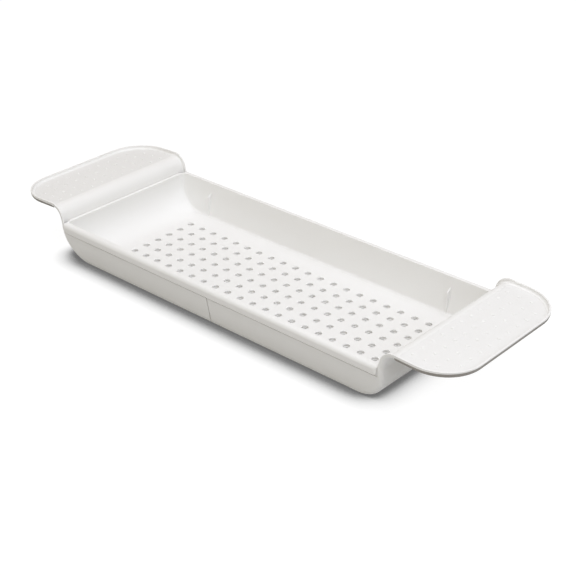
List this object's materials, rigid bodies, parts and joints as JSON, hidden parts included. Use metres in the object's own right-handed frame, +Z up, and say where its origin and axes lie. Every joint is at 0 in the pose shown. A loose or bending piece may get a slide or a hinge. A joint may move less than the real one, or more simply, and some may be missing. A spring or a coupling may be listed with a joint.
{
  "type": "extendable_bath_caddy",
  "caption": "White extendable bath caddy: a perforated tray held in two sliding shells whose ends turn over into dimpled handle wings with rubber grip pads.",
  "frame": {"origin": "middle of the closed caddy, level with the two shells' undersides", "axes": "+X along the caddy towards the right handle wing, +Y across it towards the far long side, +Z up"},
  "size_m": [0.67, 0.214, 0.0708],
  "materials": {
    "white_plastic": "satin moulded",
    "grip_rubber": "matt"
  },
  "bodies": {
    "tray": {"inner_tray": "white_plastic"},
    "left_end": {"left_shell": "white_plastic", "left_grip_pad": "grip_rubber"},
    "right_end": {"right_shell": "white_plastic", "right_grip_pad": "grip_rubber"}
  },
  "joints": [
    {"name": "left_slide", "type": "slide", "parent": "tray", "child": "left_end", "axis": [-1, 0, 0], "range_m": [0, 0.1]},
    {"name": "right_slide", "type": "slide", "parent": "tray", "child": "right_end", "axis": [1, 0, 0], "range_m": [0, 0.1]}
  ]
}
